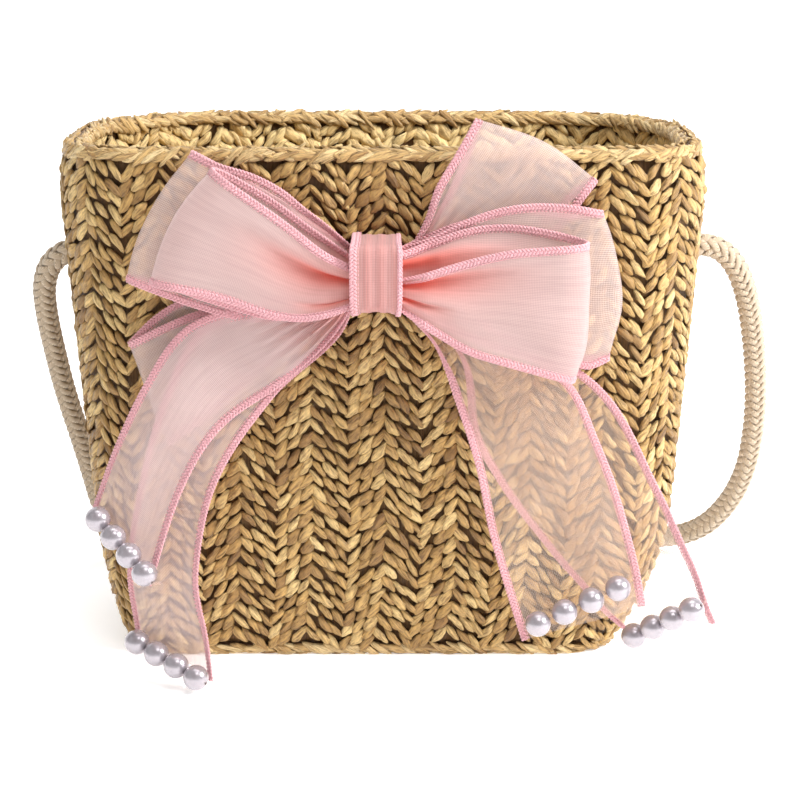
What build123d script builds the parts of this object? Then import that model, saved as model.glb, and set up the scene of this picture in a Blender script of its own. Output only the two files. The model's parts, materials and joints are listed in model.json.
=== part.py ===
"""Flower girl basket: a woven straw tote with a rope handle and a pearl-trimmed ribbon bow.

Millimetres, +Z up.  The origin is the middle of the base's underside, the bow faces -Y and the
rope handle hangs down behind the basket, towards +Y.
"""
import os
from math import cos, pi, radians, sin, tan

from build123d import *

# ---------------------------------------------------------------- basket
rim_height = 166.0            # top of the rim braid
rim_half_width = 101.2        # along X, at the rim
rim_half_depth = 50.0         # along Y, at the rim
width_taper = 0.078           # half-width lost for each mm down from the rim
depth_taper = 0.050
tuck_height = 48.0            # below this the wall also curves in to the base
tuck_width = 10.0             # how far it has curved in at the floor
tuck_depth = 4.0
base_lean = -4.5              # the base sits a little to the left of the rim
rim_curl = 3.5                # the ends of the rim also curl in over the last stretch
curl_height = 20.0
front_corners = (18.0, 24.0)  # plan corner radius at the floor and at the rim
back_corners = (24.0, 47.0)
wall = 3.5                    # straw wall
braid_height = 4.4            # rim braid and base edge braid
braid_proud = 1.2             # how far each braid stands out of the wall
braid_round = 1.1

# ---------------------------------------------------------------- rope handle
rope_diameter = 8.0
rope_hole = 8.8
pivot_height = 127.5          # both rope holes, on one line along X
knot_face = 91.2              # inside face of each stopper knot, from the middle
knot_length = 13.0
knot_radius = 8.0

# ---------------------------------------------------------------- bow
band_left, band_right = -9.3, 5.8
band_front, band_back = -76.0, -50.4
band_low, band_high = 118.6, 140.6
band_thick = 1.2
band_round = 4.0
core_gap = 0.05               # gathered ribbon inside the band
front_loop = (-74.0, -61.5)   # each pair is a loop's front and back, along Y
rear_loop = (-61.0, -56.2)
left_low_loop = (-55.2, -51.2)
right_high_loop = (-55.6, -52.6)
loop_round = 1.2
tack_spacing = 6.0            # the two legs of the stitch that holds the bow on
tack_radius = 0.65
tack_hole_radius = 0.75
tack_height = 129.6
ribbon_thick = 0.8

# ---------------------------------------------------------------- pearls
pearl_diameter = 8.0
pearl_bore = 1.0
thread_diameter = 0.8
pearl_gap = 0.5               # between a pearl and its ribbon
thread_reach = 4.6            # how far a thread runs past the last pearl's centre
thread_clear = 0.4            # a thread's legs stop this short of the ribbon

# The rope's route from the left knot, out of the wall, down behind the basket, along the floor
# and up to the right knot.
rope_points = [
    (-91.2, 0, 127.5),
    (-101, 0, 127.5),
    (-109.5, 2.5, 122.5),
    (-113, 7.5, 113.5),
    (-113.5, 15, 102.5),
    (-112.5, 24, 88),
    (-110.5, 34, 70),
    (-107, 45, 50.5),
    (-104.3, 54.5, 33),
    (-102.8, 60.6, 22.1),
    (-98.2, 66.3, 13.9),
    (-90.8, 71.7, 7.8),
    (-81.4, 76.2, 4.6),
    (-62, 82.5, 4.3),
    (-40, 87.3, 4.3),
    (-18, 90.3, 4.3),
    (6, 91.6, 4.3),
    (31, 91, 4.3),
    (57, 88.6, 4.3),
    (82, 84, 4.3),
    (103, 76.5, 5.0),
    (116, 68, 11),
    (124.5, 60, 23),
    (129, 51, 38),
    (130, 42.5, 55),
    (129, 33.5, 71.5),
    (126.5, 24.5, 88.5),
    (123, 15, 104.5),
    (119.3, 8, 115),
    (115.5, 4.2, 122),
    (110.2, 1.6, 126.9),
    (104.3, 0.4, 128.2),
    (98.3, 0, 127.5),
    (91.2, 0, 127.5),
]

# Loops: outlines in XZ, from the band's side face round the loop and back.
left_front_outline = [
    (band_left, 136.5), (-27, 147), (-50, 162.5), (-60, 151), (-70, 136.5), (-70, 127.5),
    (-47, 123), (-24, 117.5), (band_left, 120),
]
left_rear_outline = [
    (band_left, 137.5), (-24, 150), (-38, 159.5), (-57, 166.5), (-69, 145), (-77.7, 126.5),
    (-59, 119.6), (band_left, 121.5),
]
left_low_outline = [
    (band_left, 126), (-36, 121), (-64, 118.5), (-78.5, 107.5), (-66.6, 73), (-50, 85.5),
    (-30, 103), (band_left, 119.5),
]
right_front_outline = [
    (band_right, 136.5), (16, 139.5), (30, 144), (48, 143.3), (62, 140), (62.8, 127),
    (62.3, 113), (59, 96.7), (37, 103.6), (25.7, 107.4), (15.7, 113), (band_right, 120),
]
right_rear_outline = [
    (band_right, 137), (16, 141), (26, 146), (43, 150.5), (66, 150.5), (71, 139), (73, 128),
    (72.8, 116), (70, 101.8), (63, 100), (40, 110), (band_right, 121.5),
]
right_high_outline = [
    (band_right, 133.5), (13, 145), (17, 156), (23, 166), (28.5, 176), (35, 176), (46, 171),
    (65.5, 157), (57.5, 146), (40, 137), (band_right, 125),
]

# Tails: rows from the fold under the loops down to the hem, each from the left edge to the right.
left_front_rows = [
    ((-59, -60.2, 113.4), (-13, -60.2, 113.4)),
    ((-73, -60.5, 95), (-27, -61.8, 98)),
    ((-82, -59, 77), (-49, -64.5, 82)),
    ((-87.5, -56.5, 64), (-61.5, -68, 63)),
    ((-91.5, -54.5, 52), (-70.5, -73, 34)),
]
left_rear_rows = [
    ((-54, -58.6, 113.4), (-11, -58.6, 113.4)),
    ((-67, -57.5, 92), (-34, -61, 90)),
    ((-76, -56, 62), (-52.3, -65.5, 61.5)),
    ((-80.5, -55.5, 34), (-56.8, -70, 37)),
    ((-79, -54.5, 13), (-52.2, -73, 3.4)),
]
right_front_rows = [
    ((14.8, -60.2, 109), (60, -60.2, 92.5)),
    ((22.4, -62, 90), (67, -62.5, 77)),
    ((28.9, -64, 70), (73, -64.5, 61.5)),
    ((33.5, -66, 48), (78.5, -66.3, 42)),
    ((43.4, -69, 15), (81.5, -68, 26.4)),
]
right_rear_rows = [
    ((22, -58.6, 106.3), (72, -58.8, 88.1)),
    ((28.4, -58.4, 77.4), (80, -61.5, 74)),
    ((44, -57, 51), (90, -64.8, 53)),
    ((60, -54.5, 30), (97.2, -68.5, 37)),
    ((75.5, -53, 12.5), (103.2, -71.5, 21.7)),
]
# Where along each hem the first pearl sits, how far above the hem it is, the pitch of the pearls and
# how steeply the row climbs away from the hem, in degrees.
pearl_rows = {
    "left_front": (left_front_rows, 0.19, 3.4, 8.2, 0.0),
    "left_rear": (left_rear_rows, 0.17, 1.0, 8.2, 0.0),
    "right_front": (right_front_rows, 0.16, 5.0, 9.0, 7.7),
    "right_rear": (right_rear_rows, 0.22, 0.9, 8.2, 17.0),
}
pearls_per_tail = 4

os.makedirs("parts", exist_ok=True)


def save(builder, name):
    """Label a finished piece and write it as its own STEP file."""
    builder.part.label = name
    export_step(builder.part, f"parts/{name}.step")


# ---------------------------------------------------------------- basket shape
def tuck(z):
    """1 at the floor, falling smoothly to 0 where the straight wall begins."""
    return max(0.0, 1 - z / tuck_height) ** 2


def curl(z):
    """0 up to the start of the curl, rising smoothly to 1 at the rim."""
    return max(0.0, 1 - (rim_height - z) / curl_height) ** 2


def half_width(z):
    straight = rim_half_width - width_taper * (rim_height - z)
    return straight - tuck_width * tuck(z) - rim_curl * curl(z)


def half_depth(z):
    return rim_half_depth - depth_taper * (rim_height - z) - tuck_depth * tuck(z)


def centre_x(z):
    return base_lean * tuck(z)


def section(z, inset=0.0, height=None):
    """The basket's outline for level z, rounder at the back, drawn at that level or at height."""
    with BuildSketch(Plane.XY.offset(z if height is None else height)) as outline:
        with Locations((centre_x(z), 0)):
            Rectangle(2 * (half_width(z) - inset), 2 * (half_depth(z) - inset))
        front, back = outline.vertices().group_by(Axis.Y)
        for corners, (low, high) in ((front, front_corners), (back, back_corners)):
            fillet(corners, low + (high - low) * z / rim_height - inset)
    return outline.sketch


wall_top = rim_height - braid_height
curl_start = rim_height - curl_height
wall_levels = [braid_height, 11.0, 18.0, 26.0, 36.0, tuck_height, curl_start, 154.0, wall_top]


def wall_body(inset, mode):
    """Add or cut the basket's outer or inner form: the curved foot, the wall and the curl."""
    loft([section(z, inset).face() for z in wall_levels], ruled=True, mode=mode)


with BuildPart() as basket_wall:
    wall_body(0, Mode.ADD)
    wall_body(wall, Mode.SUBTRACT)
    with BuildSketch(Plane.YZ.offset(-rim_half_width)) as rope_holes:
        with Locations((0, pivot_height)):
            Circle(rope_hole / 2)
    extrude(amount=2 * rim_half_width, mode=Mode.SUBTRACT)
    with BuildSketch(Plane.XZ.offset(half_depth(tack_height) - 2 * wall)) as tack_holes:
        band_middle = (band_left + band_right) / 2
        with Locations((band_middle - tack_spacing / 2, tack_height),
                       (band_middle + tack_spacing / 2, tack_height)):
            Circle(tack_hole_radius)
    extrude(amount=4 * wall, mode=Mode.SUBTRACT)
save(basket_wall, "basket_wall")

base_inset = 2.5
with BuildPart() as basket_base:
    extrude(section(braid_height, base_inset, 0), amount=braid_height)
save(basket_base, "basket_base")

with BuildPart() as base_edge_braid:
    extrude(section(braid_height, -braid_proud, 0), amount=braid_height)
    outer_edges = base_edge_braid.edges().filter_by(Plane.XY)
    fillet(outer_edges, braid_round)
    extrude(section(braid_height, base_inset, 0), amount=braid_height, mode=Mode.SUBTRACT)
save(base_edge_braid, "base_edge_braid")

with BuildPart() as rim_braid:
    extrude(section(wall_top, -braid_proud), amount=braid_height)
    extrude(section(wall_top, wall + braid_proud), amount=braid_height, mode=Mode.SUBTRACT)
    fillet(rim_braid.edges().filter_by(Plane.XY).group_by(Axis.Z)[-1], braid_round)
save(rim_braid, "rim_braid")


# ---------------------------------------------------------------- rope handle
def bend_radii(points):
    """Each bend's radius: 0.45 of its shorter run, over the tangent of half the turn."""
    places = [Vector(*p) for p in points]
    radii = []
    for before, at, after in zip(places, places[1:], places[2:]):
        turn = (at - before).get_angle(after - at)
        shorter = min((at - before).length, (after - at).length)
        radii.append(0.45 * shorter / tan(radians(turn / 2)))
    return radii


rope_radii = bend_radii(rope_points)
print("rope bend radii, mm:", [round(r, 1) for r in rope_radii])
with BuildPart() as rope_handle:
    with BuildLine() as rope_route:
        FilletPolyline(*rope_points, radius=rope_radii)
    with BuildSketch(Plane(origin=rope_route.line @ 0, z_dir=rope_route.line % 0)):
        Circle(rope_diameter / 2)
    sweep(path=rope_route.line)
rope_length = sum(edge.length for edge in rope_route.edges())
rope_section = pi * (rope_diameter / 2) ** 2
print("rope length", round(rope_length, 1), "volume over section x length",
      round(rope_handle.part.volume / (rope_section * rope_length), 4))
save(rope_handle, "rope_handle")


def stopper_knot(side):
    """A barrel-shaped knot inside the wall, turned about the line of the rope holes."""
    outer, inner = side * knot_face, side * (knot_face - knot_length)
    middle = (outer + inner) / 2
    with BuildPart() as knot:
        with BuildSketch(Plane.XZ) as half:
            with BuildLine():
                ThreePointArc((outer, pivot_height + rope_diameter / 2),
                              (middle, pivot_height + knot_radius),
                              (inner, pivot_height + rope_diameter / 2))
                Polyline((inner, pivot_height + rope_diameter / 2), (inner, pivot_height),
                         (outer, pivot_height), (outer, pivot_height + rope_diameter / 2))
            make_face()
        revolve(axis=Axis((0, 0, pivot_height), (1, 0, 0)))
    return knot


save(stopper_knot(-1), "rope_knot_left")
save(stopper_knot(1), "rope_knot_right")


# ---------------------------------------------------------------- bow
def band_outline(inset):
    """The band's rounded section in YZ, on its left end."""
    depth = band_back - band_front - 2 * inset
    height = band_high - band_low - 2 * inset
    with BuildSketch(Plane.YZ.offset(band_left)) as outline:
        with Locations(((band_front + band_back) / 2, (band_low + band_high) / 2)):
            RectangleRounded(depth, height, band_round - inset)
    return outline.sketch


band_width = band_right - band_left
with BuildPart() as bow_knot_band:
    extrude(band_outline(0), amount=band_width)
    extrude(band_outline(band_thick), amount=band_width, mode=Mode.SUBTRACT)
save(bow_knot_band, "bow_knot_band")

with BuildPart() as ribbon_core:
    extrude(band_outline(band_thick + core_gap), amount=band_width)
save(ribbon_core, "ribbon_core")


def ribbon_loop(outline, span):
    """A closed ribbon loop: its outline in XZ, as deep along Y as its two plies stand apart."""
    front, back = span
    with BuildPart() as loop:
        with BuildSketch(Plane.XZ.offset(-back)):
            with BuildLine():
                Polyline(*outline, close=True)
            make_face()
        extrude(amount=back - front)
        free_edges = loop.faces().sort_by(Axis.Y)[0].edges()
        fillet(free_edges, loop_round)
    return loop


save(ribbon_loop(left_front_outline, front_loop), "left_loop_front")
save(ribbon_loop(left_rear_outline, rear_loop), "left_loop_rear")
save(ribbon_loop(left_low_outline, left_low_loop), "left_loop_lower")
save(ribbon_loop(right_front_outline, front_loop), "right_loop_front")
save(ribbon_loop(right_rear_outline, rear_loop), "right_loop_rear")
save(ribbon_loop(right_high_outline, right_high_loop), "right_loop_upper")

# The stitch that holds the bow: two legs through the wall and a bar across its inside.
tack_bar_y = -half_depth(tack_height) + wall + 2 * tack_radius
with BuildPart() as bow_tack:
    with BuildSketch(Plane.XZ.offset(-tack_bar_y)):
        with Locations((band_middle - tack_spacing / 2, tack_height),
                       (band_middle + tack_spacing / 2, tack_height)):
            Circle(tack_radius)
    extrude(amount=tack_bar_y - band_back)
    with Locations((band_middle, tack_bar_y, tack_height)):
        Cylinder(tack_radius, tack_spacing, rotation=(0, 90, 0))
    with Locations((band_middle - tack_spacing / 2, tack_bar_y, tack_height),
                   (band_middle + tack_spacing / 2, tack_bar_y, tack_height)):
        Sphere(tack_radius)
save(bow_tack, "bow_tack")


# ---------------------------------------------------------------- tails and pearls
def row_plane(rows, index):
    """The plane of one row across a tail: x along the row, y through the ribbon, z down it."""
    left, right = (Vector(*p) for p in rows[index])
    middle = (left + right) / 2
    near = rows[min(index + 1, len(rows) - 1)]
    far = rows[max(index - 1, 0)]
    down = (Vector(*near[0]) + Vector(*near[1])) - (Vector(*far[0]) + Vector(*far[1]))
    across = (right - left).normalized()
    down = down - across * down.dot(across)
    return Plane(origin=middle, x_dir=across, z_dir=down.normalized())


def ribbon_tail(rows):
    """A thin ribbon lofted through its rows, free to twist as it hangs."""
    with BuildPart() as tail:
        for index, (left, right) in enumerate(rows):
            with BuildSketch(row_plane(rows, index)):
                Rectangle((Vector(*right) - Vector(*left)).length, ribbon_thick)
        loft()
    return tail


def pearl_planes(rows, first, rise, pitch, climb):
    """A plane at each pearl's centre: x along its bore, y away from the ribbon's front."""
    hem = row_plane(rows, len(rows) - 1)
    left, right = (Vector(*p) for p in rows[-1])
    front = hem.y_dir if hem.y_dir.Y < 0 else -hem.y_dir
    stand_off = (ribbon_thick + pearl_diameter) / 2 + pearl_gap
    start = left + hem.x_dir * first * (right - left).length - hem.z_dir * rise + front * stand_off
    bore = hem.x_dir * cos(radians(climb)) - hem.z_dir * sin(radians(climb))
    return [Plane(origin=start + bore * pitch * index, x_dir=bore, z_dir=bore.cross(front))
            for index in range(pearls_per_tail)]


with BuildPart() as bead:
    with BuildSketch() as half_disc:
        Circle(pearl_diameter / 2)
        with Locations((0, (pearl_bore - pearl_diameter) / 4)):
            Rectangle(pearl_diameter, (pearl_diameter + pearl_bore) / 2, mode=Mode.SUBTRACT)
    revolve(axis=Axis.X)


def pearl_beads(planes):
    """Drilled round beads, one at each plane."""
    with BuildPart() as beads:
        with Locations(*planes):
            add(bead.part)
    return beads


def pearl_thread(planes):
    """One thread through a tail's beads, with a leg at each end back to the ribbon."""
    leg = pearl_diameter / 2 + pearl_gap - thread_clear
    reach = (planes[-1].origin - planes[0].origin).length
    route = [(-thread_reach, -leg), (-thread_reach, 0),
             (reach + thread_reach, 0), (reach + thread_reach, -leg)]
    with BuildPart() as thread:
        with BuildLine(planes[0]) as path:
            Polyline(*route)
        with BuildSketch(Plane(origin=path.line @ 0, z_dir=path.line % 0)):
            Circle(thread_diameter / 2)
        sweep(path=path.line, transition=Transition.RIGHT)
    return thread


for tail_name, (rows, *placing) in pearl_rows.items():
    side, place = tail_name.split("_")
    save(ribbon_tail(rows), f"{side}_tail_{place}")
    planes = pearl_planes(rows, *placing)
    save(pearl_beads(planes), f"pearls_{tail_name}")
    save(pearl_thread(planes), f"pearl_thread_{tail_name}")
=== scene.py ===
"""Flower girl basket: woven straw, braided rope and a sheer ribbon bow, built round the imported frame.

Metres, +Z up, the bow faces -Y.  Every piece is real geometry: straw strands, plaited cord, ribbon
sheets with stitched edges, and threads.
"""
import json
import math

import bpy
import numpy as np
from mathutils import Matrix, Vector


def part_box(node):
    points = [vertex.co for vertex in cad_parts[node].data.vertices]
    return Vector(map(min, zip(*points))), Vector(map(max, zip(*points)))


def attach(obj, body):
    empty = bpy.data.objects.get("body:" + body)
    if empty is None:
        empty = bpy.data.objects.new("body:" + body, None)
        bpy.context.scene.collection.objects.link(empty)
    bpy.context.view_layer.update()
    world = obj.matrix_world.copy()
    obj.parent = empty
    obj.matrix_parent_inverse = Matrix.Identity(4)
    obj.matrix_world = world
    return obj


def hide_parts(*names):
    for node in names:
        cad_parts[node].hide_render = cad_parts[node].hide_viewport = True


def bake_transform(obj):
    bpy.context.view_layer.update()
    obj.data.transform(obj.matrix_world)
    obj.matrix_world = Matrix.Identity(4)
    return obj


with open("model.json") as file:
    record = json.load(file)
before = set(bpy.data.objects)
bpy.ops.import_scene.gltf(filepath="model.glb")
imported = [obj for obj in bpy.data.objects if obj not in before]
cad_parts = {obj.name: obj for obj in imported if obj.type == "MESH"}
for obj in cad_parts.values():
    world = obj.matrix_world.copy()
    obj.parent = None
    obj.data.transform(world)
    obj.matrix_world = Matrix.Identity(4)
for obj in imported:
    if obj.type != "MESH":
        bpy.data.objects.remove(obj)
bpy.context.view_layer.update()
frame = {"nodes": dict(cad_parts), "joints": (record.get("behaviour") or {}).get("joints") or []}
rng = np.random.default_rng(7)

# ---- camera
camera = bpy.data.objects.new("camera", bpy.data.cameras.new("camera"))
camera.data.lens = 108.9
camera.location = (0.0055, -0.784, 0.261)
camera.rotation_euler = (math.radians(76.7), 0, 0)
bpy.context.scene.collection.objects.link(camera)
bpy.context.scene.camera = camera


# ---- mesh helpers
def unit(v):
    """Vectors along the last axis, each made one long."""
    return v / np.maximum(np.linalg.norm(v, axis=-1, keepdims=True), 1e-12)


def linked(name, data):
    """A new object in the scene."""
    thing = bpy.data.objects.new(name, data)
    bpy.context.scene.collection.objects.link(thing)
    return thing


def riding(piece, body, node):
    """A piece that moves with a body and stands for a CAD node."""
    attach(piece, body)
    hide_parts(node)
    return piece


def fill_mesh(mesh, points, loops, totals, values):
    """Fills a mesh from flat arrays, shaded smooth, with its named values at the points."""
    mesh.vertices.add(len(points))
    mesh.vertices.foreach_set("co", points.astype(np.float32).ravel())
    mesh.loops.add(len(loops))
    mesh.loops.foreach_set("vertex_index", loops.astype(np.int32))
    starts = np.concatenate(([0], np.cumsum(totals)[:-1]))
    mesh.polygons.add(len(totals))
    mesh.polygons.foreach_set("loop_start", starts.astype(np.int32))
    mesh.polygons.foreach_set("loop_total", totals.astype(np.int32))
    for key, value in values.items():
        layer = mesh.attributes.new(key, "FLOAT", "POINT")
        layer.data.foreach_set("value", np.asarray(value, np.float32).ravel())
    mesh.update(calc_edges=True)
    mesh.validate()
    mesh.shade_smooth()
    return mesh


def grid_quads(index):
    """The four corners of every cell of a grid of point numbers, or of a stack of grids."""
    return np.stack((index[..., :-1, :-1], index[..., :-1, 1:], index[..., 1:, 1:], index[..., 1:, :-1]),
                    -1).reshape(-1, 4)


def circle(around):
    """Points round a circle of radius one."""
    angle = np.linspace(0, 2 * np.pi, around, endpoint=False)
    return np.stack((np.cos(angle), np.sin(angle)), 1)


def tubes_mesh(name, rings, values, closed=False):
    """Many tubes as one mesh. rings is (tube, ring, point round, 3); open ends are capped."""
    count, length, around, _ = rings.shape
    index = np.arange(count * length * around).reshape(count, length, around)
    if closed:
        index = np.concatenate((index, index[:, :1]), axis=1)
    index = np.concatenate((index, index[:, :, :1]), axis=2)
    quads = grid_quads(index)
    loops, totals = [quads.ravel()], [np.full(len(quads), 4)]
    if not closed:
        loops += [index[:, 0, :-1][:, ::-1].ravel(), index[:, -1, :-1].ravel()]
        totals += [np.full(2 * count, around)]
    fields = {"round": np.broadcast_to(np.arange(around) / around, (count, length, around)),
              "along": np.broadcast_to(np.linspace(0, 1, length)[None, :, None],
                                       (count, length, around))}
    for key, value in values.items():
        fields[key] = np.broadcast_to(value, (count, length, around))
    return fill_mesh(bpy.data.meshes.new(name), rings.reshape(-1, 3), np.concatenate(loops),
                     np.concatenate(totals), fields)


def tubes(name, rings, values, node, body="root", closed=False):
    """Many tubes as one piece that moves with a body and stands for a CAD node."""
    return riding(linked(name, tubes_mesh(name, rings, values, closed)), body, node)


def sweep_rings(path, side, out, outline):
    """Rings round a path: outline is (point round, 2) in the side and out directions, or one each."""
    outline = np.asarray(outline)
    if outline.ndim == 2:
        outline = np.broadcast_to(outline, (len(path),) + outline.shape)
    return (path[:, None] + outline[..., :1] * side[:, None] + outline[..., 1:] * out[:, None])[None]


def turning_frames(path, first_out, closed=False):
    """For each point of a path: its direction, and the two directions across it that turn least."""
    along = np.gradient(path, axis=0)
    if closed:
        along = np.roll(path, -1, axis=0) - np.roll(path, 1, axis=0)
    along = unit(along)
    out = np.empty_like(path)
    last = np.asarray(first_out, float)
    for i, direction in enumerate(along):
        last = last - direction * last.dot(direction)
        last = last / np.linalg.norm(last)
        out[i] = last
    return along, np.cross(along, out), out


# ---- rope handle: its route comes first
ROPE_POINTS = [
    (-0.0912, 0, 0.1275), (-0.101, 0, 0.1275), (-0.1095, 0.0025, 0.1225), (-0.113, 0.0075, 0.1135),
    (-0.1135, 0.015, 0.1025), (-0.1125, 0.024, 0.088), (-0.1105, 0.034, 0.070),
    (-0.107, 0.045, 0.0505), (-0.1043, 0.0545, 0.033), (-0.1028, 0.0606, 0.0221),
    (-0.0982, 0.0663, 0.0139), (-0.0908, 0.0717, 0.0078), (-0.0814, 0.0762, 0.0046),
    (-0.062, 0.0825, 0.0043), (-0.040, 0.0873, 0.0043), (-0.018, 0.0903, 0.0043),
    (0.006, 0.0916, 0.0043), (0.031, 0.091, 0.0043), (0.057, 0.0886, 0.0043),
    (0.082, 0.084, 0.0043), (0.103, 0.0765, 0.005), (0.116, 0.068, 0.011), (0.1245, 0.060, 0.023),
    (0.129, 0.051, 0.038), (0.130, 0.0425, 0.055), (0.129, 0.0335, 0.0715),
    (0.1265, 0.0245, 0.0885), (0.123, 0.015, 0.1045), (0.1193, 0.008, 0.115),
    (0.1155, 0.0042, 0.122), (0.1102, 0.0016, 0.1269), (0.1043, 0.0004, 0.1282),
    (0.0983, 0, 0.1275), (0.0912, 0, 0.1275),
]
ROPE_CARRIERS = 6             # flat strands wound each way round the rope
ROPE_PITCH = 0.0200           # one full turn of a strand
ROPE_WINDING = 0.0029         # middle of the wound strands
ROPE_RISE = 0.0006            # how far a strand rises over and dips under the others
ROPE_STRAND = (0.00118, 0.0005)
ROPE_CORE = 0.0024
STRAND_LOBES = 5              # fine cords side by side in a knot's strand


def route_points(points, step):
    """Even points along the NURBS spline that has the route's points as its control points."""
    curve = bpy.data.curves.new("route", "CURVE")
    curve.dimensions = "3D"
    curve.resolution_u = 24
    spline = curve.splines.new("NURBS")
    spline.points.add(len(points) - 1)
    for knot, place in zip(spline.points, points):
        knot.co = (*place, 1)
    spline.order_u = 3
    spline.use_endpoint_u = True
    holder = linked("route", curve)
    bpy.context.view_layer.update()
    line = bpy.data.meshes.new_from_object(holder)
    path = np.array([v.co for v in line.vertices])
    bpy.data.objects.remove(holder)
    bpy.data.curves.remove(curve)
    bpy.data.meshes.remove(line)
    far = np.concatenate(([0], np.cumsum(np.linalg.norm(np.diff(path, axis=0), axis=1))))
    even = np.linspace(0, far[-1], max(2, round(far[-1] / step)))
    return np.stack([np.interp(even, far, path[:, k]) for k in range(3)], 1), even


def lobed_outline(width, depth, lobes, groove, around):
    """A flattened round section with shallow grooves, as of cords lying side by side."""
    angle = np.linspace(0, 2 * np.pi, around, endpoint=False)
    swell = 1 - groove * (0.5 + 0.5 * np.cos(angle * 2 * lobes)) * np.abs(np.sin(angle)) ** 0.5
    return np.stack((width * np.cos(angle) * swell, depth * np.sin(angle) * swell), 1)


def plait(path, far, side, out, sway, depth, pitch, outline):
    """Three strands that pass over and under each other along a path."""
    rings = []
    for strand in range(3):
        turn = 2 * np.pi * (far / pitch + strand / 3)
        middle = path + side * (sway * np.sin(turn))[:, None] + out * (depth * np.sin(2 * turn))[:, None]
        along = unit(np.gradient(middle, axis=0))
        lean = unit(np.cross(out, along))
        rings.append(sweep_rings(middle, lean, np.cross(along, lean), outline))
    return np.concatenate(rings)


def round_braid(path, far, side, out):
    """Flat strands wound both ways round a core, each over two of the others and under the next two."""
    round_section = circle(8)
    rings = [sweep_rings(path, side, out, round_section * ROPE_CORE)]
    crossing = 2 * ROPE_CARRIERS * far / ROPE_PITCH
    for way, first in ((1, -0.5), (-1, 2.5)):
        for carrier in range(ROPE_CARRIERS):
            turn = 2 * np.pi * (way * far / ROPE_PITCH + carrier / ROPE_CARRIERS)
            radial = side * np.cos(turn)[:, None] + out * np.sin(turn)[:, None]
            rise = ROPE_RISE * np.cos((crossing + first + way * 2 * carrier) * np.pi / 2)
            middle = path + radial * (ROPE_WINDING + rise)[:, None]
            along = unit(np.gradient(middle, axis=0))
            rings.append(sweep_rings(middle, unit(np.cross(along, radial)), radial,
                                     round_section * ROPE_STRAND))
    return np.concatenate(rings)


rope_path, rope_far = route_points(ROPE_POINTS, 0.0006)
_, rope_side, rope_out = turning_frames(rope_path, (0, -1, 0))
rope = tubes("braided_rope", round_braid(rope_path, rope_far, rope_side, rope_out),
             {"tint": np.linspace(0.2, 0.8, 2 * ROPE_CARRIERS + 1)[:, None, None]}, "rope_handle",
             body="handle")


# ---- basket shape, as the frame has it
RIM_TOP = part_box("rim_braid")[1].z
BRAID = RIM_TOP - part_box("rim_braid")[0].z
HALF_WIDTH, HALF_DEPTH = 0.1012, 0.050
WIDTH_TAPER, DEPTH_TAPER = 0.078, 0.050
TUCK_HEIGHT, TUCK_WIDTH, TUCK_DEPTH, BASE_LEAN = 0.048, 0.010, 0.004, -0.0045
CURL_HEIGHT, RIM_CURL = 0.020, 0.0035
FRONT_CORNER = (0.018, 0.024)
BACK_CORNER = (0.024, 0.047)
WALL = 0.0035
PIVOT = frame["joints"][0]["pos_m"]


def outline_sizes(z, inset):
    """Half width, half depth, middle, front and back corner radius of the basket at each height."""
    tuck = np.maximum(0, 1 - z / TUCK_HEIGHT) ** 2
    curl = np.maximum(0, 1 - (RIM_TOP - z) / CURL_HEIGHT) ** 2
    width = HALF_WIDTH - WIDTH_TAPER * (RIM_TOP - z) - TUCK_WIDTH * tuck - RIM_CURL * curl - inset
    depth = HALF_DEPTH - DEPTH_TAPER * (RIM_TOP - z) - TUCK_DEPTH * tuck - inset
    front, back = (low + (high - low) * z / RIM_TOP - inset for low, high in (FRONT_CORNER, BACK_CORNER))
    return width, depth, BASE_LEAN * tuck, front, back


def half_round(z, inset=0.0):
    """Half the way round the basket at each height, from the middle of its front."""
    width, depth, _, front, back = outline_sizes(z, inset)
    return 2 * width + 2 * depth + (np.pi / 2 - 2) * (front + back)


def outline_point(s, z, inset=0.0):
    """The point at distance s round the basket from its front middle, towards +X, at height z."""
    width, depth, middle, front, back = outline_sizes(z, inset)
    left = s < 0
    s = np.abs(s)
    x, y = s.copy(), -depth + 0 * s
    rest = s - (width - front)
    turn = np.clip(rest / front, 0, np.pi / 2)
    corner = rest > 0
    x = np.where(corner, width - front + front * np.sin(turn), x)
    y = np.where(corner, -depth + front - front * np.cos(turn), y)
    rest = rest - front * np.pi / 2
    side = rest > 0
    y = np.where(side, -depth + front + rest, y)
    rest = rest - (2 * depth - front - back)
    turn = np.clip(rest / back, 0, np.pi / 2)
    corner = rest > 0
    x = np.where(corner, width - back + back * np.cos(turn), x)
    y = np.where(corner, depth - back + back * np.sin(turn), y)
    rest = rest - back * np.pi / 2
    x = np.where(rest > 0, width - back - rest, x)
    return np.stack((middle + np.where(left, -x, x), y, z + 0 * s), -1)


def wall_frames(s, z, inset=0.0):
    """Place, direction round the basket, direction up the wall and outward direction at s and z."""
    small = 0.0006
    place = outline_point(s, z, inset)
    around = unit(outline_point(s + small, z, inset) - outline_point(s - small, z, inset))
    up = outline_point(s, z + small, inset) - outline_point(s, z - small, inset)
    out = unit(np.cross(around, up))
    return place, around, np.cross(out, around), out


def level_ring(count, z, inset):
    """Even distances all round the basket at one height, and that height for each."""
    height = np.full(count, z)
    return np.linspace(-1, 1, count, endpoint=False) * half_round(height, inset), height


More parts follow.
